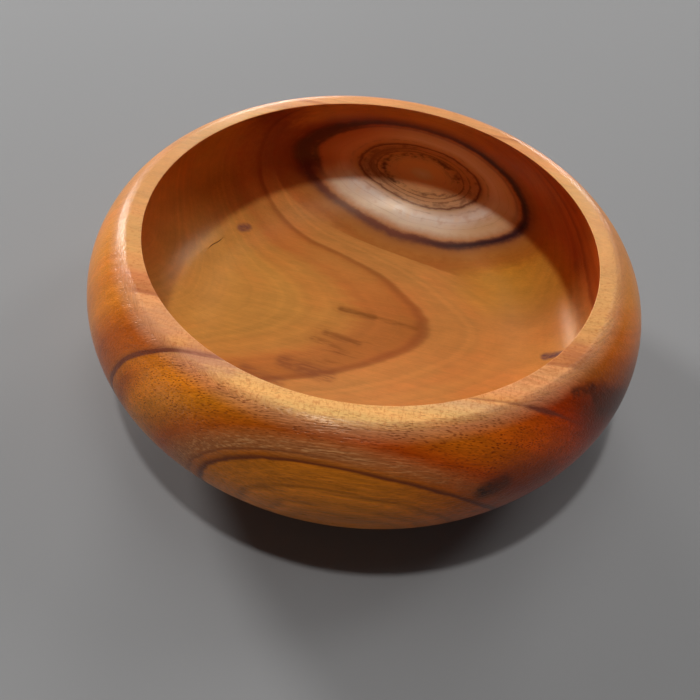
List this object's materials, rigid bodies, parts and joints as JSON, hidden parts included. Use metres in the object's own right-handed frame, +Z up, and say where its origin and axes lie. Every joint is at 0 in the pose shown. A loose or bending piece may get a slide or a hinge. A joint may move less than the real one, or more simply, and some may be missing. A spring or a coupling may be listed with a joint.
{
  "type": "bowl",
  "caption": "Round turned wooden serving bowl with a rounded belly, a wall that leans in to a flat rim, and a shallow recessed foot.",
  "frame": {"origin": "centre of the ring foot, on the surface that the bowl stands on", "axes": "+Z up, along the bowl's axis out of its mouth; the wood's fibres run roughly along X"},
  "size_m": [0.276, 0.276, 0.09],
  "materials": {
    "wood": "satin oiled and lacquered hardwood, honey brown with darker figure"
  },
  "bodies": {
    "root": {"bowl": "wood"}
  },
  "joints": []
}
